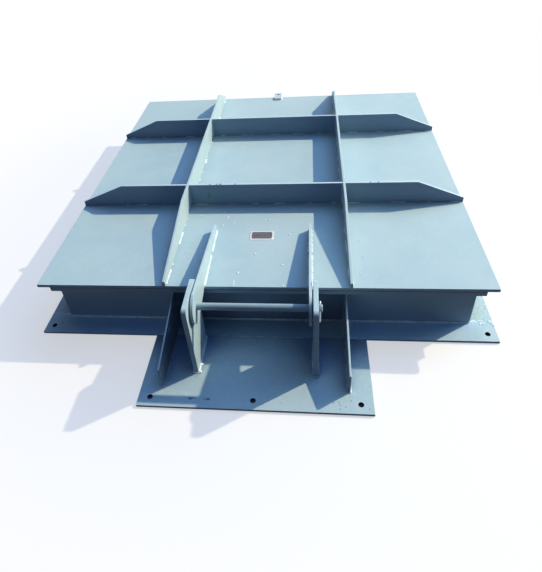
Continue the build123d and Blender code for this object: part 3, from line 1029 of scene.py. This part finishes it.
def floor():
    """A pale round floor, white far from the gate, that throws little light back on it, and dark under the plates as
    painted shade in the bolt holes.
    """
    material = bpy.data.materials.new("floor")
    graph = Graph(material)
    place = graph.add("ShaderNodeTexCoord", output="Object")
    near = graph.add("ShaderNodeBsdfDiffuse", {"Color": (0.95, 0.95, 0.95, 1)})
    far = graph.add("ShaderNodeEmission", {"Color": (1, 1, 1, 1), "Strength": 1.0})
    reach = graph.add("ShaderNodeVectorMath", {0: place}, "Value", operation="LENGTH")
    limits = {0: reach, 1: FLOOR_WHITE_FROM, 2: FLOOR_WHITE_AT, 3: FLOOR_NEAR_WHITE}
    fade = graph.add("ShaderNodeMapRange", limits, interpolation_type="SMOOTHSTEP")
    shown = graph.add("ShaderNodeMixShader", {0: fade, 1: near, 2: far})
    dim = graph.add("ShaderNodeBsdfDiffuse", {"Color": FLOOR_BOUNCE_AND_HOLE_SHADE})
    # Painted shade: the floor under the plates is dark, seen only through the bolt holes
    shown = graph.add("ShaderNodeMixShader", {0: covered(graph, place), 1: shown, 2: dim})
    graph.add("ShaderNodeOutputMaterial", {0: graph.add("ShaderNodeMixShader", {0: graph.seen(), 1: dim, 2: shown})})

    disc = bmesh.new()
    bmesh.ops.create_circle(disc, cap_ends=True, segments=96, radius=FLOOR_RADIUS)
    mesh = bpy.data.meshes.new("floor")
    disc.to_mesh(mesh)
    disc.free()
    mesh.materials.append(material)
    piece = bpy.data.objects.new("floor", mesh)
    piece.location.z = cad_box[0].z - 0.2 * MM
    bpy.context.scene.collection.objects.link(piece)


def camera():
    """The photograph's view."""
    eye = bpy.data.cameras.new("camera")
    eye.sensor_fit = "AUTO"
    eye.sensor_width = SENSOR
    eye.lens = FOCAL_PIXELS / PHOTO_HEIGHT * SENSOR
    eye.shift_x = (PHOTO_MIDDLE[0] - PRINCIPAL_POINT[0]) / PHOTO_HEIGHT
    eye.shift_y = (PRINCIPAL_POINT[1] - PHOTO_MIDDLE[1]) / PHOTO_HEIGHT
    thing = bpy.data.objects.new("camera", eye)
    right = CAMERA_RIGHT.normalized()
    up = (CAMERA_UP - right * CAMERA_UP.dot(right)).normalized()
    thing.matrix_world = Matrix.Translation(CAMERA_PLACE) @ Matrix((right, up, right.cross(up))).transposed().to_4x4()
    bpy.context.scene.collection.objects.link(thing)
    bpy.context.scene.camera = thing


# The gate

camera()
world()
floor()
softbox("key", KEY_AIM + KEY_DIRECTION * KEY_DISTANCE, KEY_AIM, KEY_SIZE, KEY_WATTS, KEY_COLOUR)
softbox("side", SIDE_PLACE, SIDE_AIM, SIDE_SIZE, SIDE_WATTS, SIDE_COLOUR)
softbox("fill", FILL_PLACE, FILL_AIM, SIDE_SIZE, FILL_WATTS, FILL_COLOUR)
bpy.context.scene.view_settings.view_transform = "Standard"

base_top = high("hinge_base_plate").z
plate_paint = painted("plate_paint", 0.12)
rib_paint = painted("rib_paint", 0.30, crest=0.15)
# The rib paints carry painted shade tones on their upright faces
long_rib_paint = painted("long_rib_paint", 0.30, crest=0.15, shade_along_x=0.18, deep=LONG_RIB_PAINTED_SHADE)
cross_rib_paint = painted("cross_rib_paint", 0.15, crest=0.60, shade_along_y=1.0, deep=CROSS_RIB_PAINTED_SHADE)
near_front, near_back = low("cross_rib_near_centre").y, high("cross_rib_near_centre").y
streak = Mark((-0.2985, near_front, 0.314), (-0.2965, near_front, 0.383), 10 * MM, -Y, (0.130, 0.270, 0.130, 1))
near_nicks = [(x, (near_front + near_back) / 2 / MM) for x in NEAR_RIB_NICKS]
near_rib_paint = painted("near_rib_paint", 0.15, crest=0.60, marks=[streak], dots=near_nicks, dot_radius=4.2 * MM, dot_tone=NICK_TONE,
                         shade_along_y=1.0, deep=CROSS_RIB_PAINTED_SHADE)
# The pin: a darker coat on top, and more of it as painted shade on its sides
pin_paint = painted("pin_paint", 0.10, shade=0.6, deep=PIN_COAT_AND_SHADE)
# Leaf: dust and painted shade by the feet of the ribs
leaf_paint = painted("leaf_paint", 0.12, dirts_and_shades=[RIB_DUST_AND_SHADE], dots=LEAF_SPOTS)
between = (low("base_gusset_right").x + high("base_gusset_right").x) / 2
# Painted shade between the gussets, for the hinge wall, the gussets, the frame's dull welds and the hinge flange
wall_shade = WALL_PAINTED_SHADE._replace(half_width=between)
wall_paint = painted("wall_paint", 0.12, dirts_and_shades=[wall_shade])
gusset_paint = painted("gusset_paint", 0.30, crest=0.15, dirts_and_shades=[wall_shade])
# Side flanges: dust and painted shade by the walls
flange_paint = painted("flange_paint", 0.20, coarse=0.7, dirts_and_shades=[FLANGE_DUST_AND_SHADE], dots=SEAM_SPOTS, holes=hole_grid("flange_corner_bolts", FLANGE_GAPS))
# Hinge flange: a painted blue cast in its shade, and painted shade between the gussets
hinge_flange_paint = painted("hinge_flange_paint", 0.12, coarse=0.2, dirts_and_shades=[FLANGE_SHADE, wall_shade._replace(tone=(0.030, 0.045, 0.050, 1), strength=0.6)], dots=FLANGE_SPOTS, holes=hole_grid("flange_corner_bolts", 1))
base_marks = [
    Mark((-0.270, -1.369, base_top), (-0.236, -1.368, base_top), 8 * MM),
    Mark((-0.214, -1.369, base_top), (-0.174, -1.368, base_top), 8 * MM),
]
base_holes = hole_grid("base_plate_bolts", BASE_GAPS)
# Base plate: a slightly darker coat, and painted shade where walls, gussets and brackets close it in
base_paint = painted("base_paint", 0.20, shade=0.15, dirts_and_shades=[BASE_PAINTED_SHADE], marks=base_marks, dots=DARK_SPOTS, holes=base_holes)
# The dull copies of the weld paint are painted shade for beads that lie in shade
weld_finish = weld_paint("weld_paint", PAINT_PALE, WELD_PALE_AND_GLINT, 0.9)
dull_shaded_weld = weld_paint("dull_shaded_weld_paint", PAINT, WELD_PALE_AND_GLINT, 0.15, wall_shade)
shaded_weld = weld_paint("shaded_weld_paint", PAINT, PAINT_CREST, 0.25)
drop_paint = weld_paint("drop_paint", PAINT_CREST, DROP_WHITE, 0.9)
rubber = seal_rubber()
wire_steel = pin_steel()
name_lo, name_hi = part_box("nameplate")
name_metal = plate_metal((name_lo + name_hi) / 2, (name_hi.x - name_lo.x) / 2, (name_hi.y - name_lo.y) / 2)

for name in nodes:
    if name.startswith("seal_strip"):
        dress(name, rubber)
    elif name == "nameplate":
        dress(name, name_metal)
    elif name == "hinge_base_plate":
        dress(name, base_paint)
    elif name == "mounting_flange_hinge":
        dress(name, hinge_flange_paint)
    elif name.startswith("mounting_flange"):
        dress(name, flange_paint)
    elif name == "hinge_pin":
        dress(name, pin_paint)
    elif name.startswith("cross_rib_near"):
        dress(name, near_rib_paint)
    elif name.startswith("cross_rib"):
        dress(name, cross_rib_paint)
    elif name == "leaf_plate":
        dress(name, leaf_paint)
    elif name == "box_wall_hinge":
        dress(name, wall_paint)
    elif name.startswith("base_gusset"):
        dress(name, gusset_paint)
    elif name.startswith("long_rib"):
        dress(name, long_rib_paint)
    elif name.startswith(("hinge_", "lifting_lug")):
        dress(name, rib_paint)
    elif not name.startswith("cotter_pin"):
        dress(name, plate_paint)

frame_beads = {
    "welds_box": box_welds() + box_corner_seams(),
    "welds_flange": flange_seams(),
    "welds_gussets": gusset_welds(),
    "welds_bracket_left": bracket_welds("left"),
    "welds_bracket_right": bracket_welds("right"),
}
flap_beads = {
    "welds_ribs": rib_welds(),
    "welds_cross_ribs": cross_rib_welds(),
    "welds_arms": arm_welds() + lug_welds() + tack_marks(),
    "welds_seal_backing": backing_welds(),
}
# The lit left bracket's beads take the glossy paint, the cross ribs' beads the dull copy as painted shade
finishes = {"welds_bracket_left": weld_finish, "welds_cross_ribs": shaded_weld}
for body, kinds, usual in (("frame", frame_beads, dull_shaded_weld), ("flap", flap_beads, weld_finish)):
    for seed, (name, beads) in enumerate(kinds.items()):
        weld_piece(name, beads, body, finishes.get(name, usual), seed)
foot_plates = [name for name in nodes if name.startswith("mounting_flange")] + ["hinge_base_plate"]
spatter("spatter_frame", sum(frame_beads.values(), []), foot_plates, "frame", dull_shaded_weld, 160, 5)
leaf_beads = flap_beads["welds_ribs"] + flap_beads["welds_arms"]
spatter("spatter_flap", leaf_beads, ["leaf_plate"], "flap", weld_finish, 220, 6)

lumps("paint_drops", PAINT_DROPS, "leaf_plate", 4.5 * MM, 6.5 * MM, "flap", drop_paint, 31)
lumps("lumps_by_ribs", LEAF_LUMPS, "leaf_plate", 5.0 * MM, 7.5 * MM, "flap", weld_finish, 32)
lumps("lumps_on_base", BASE_LUMPS, "hinge_base_plate", 6.0 * MM, 7.5 * MM, "frame", drop_paint, 34, rise=1.0)
lumps("lumps_on_seam", SEAM_LUMPS, "mounting_flange_right", 3.0 * MM, 5.0 * MM, "frame", weld_finish, 33)
for side in ("left", "right"):
    split_pin(side, wire_steel)
rivets(wire_steel)
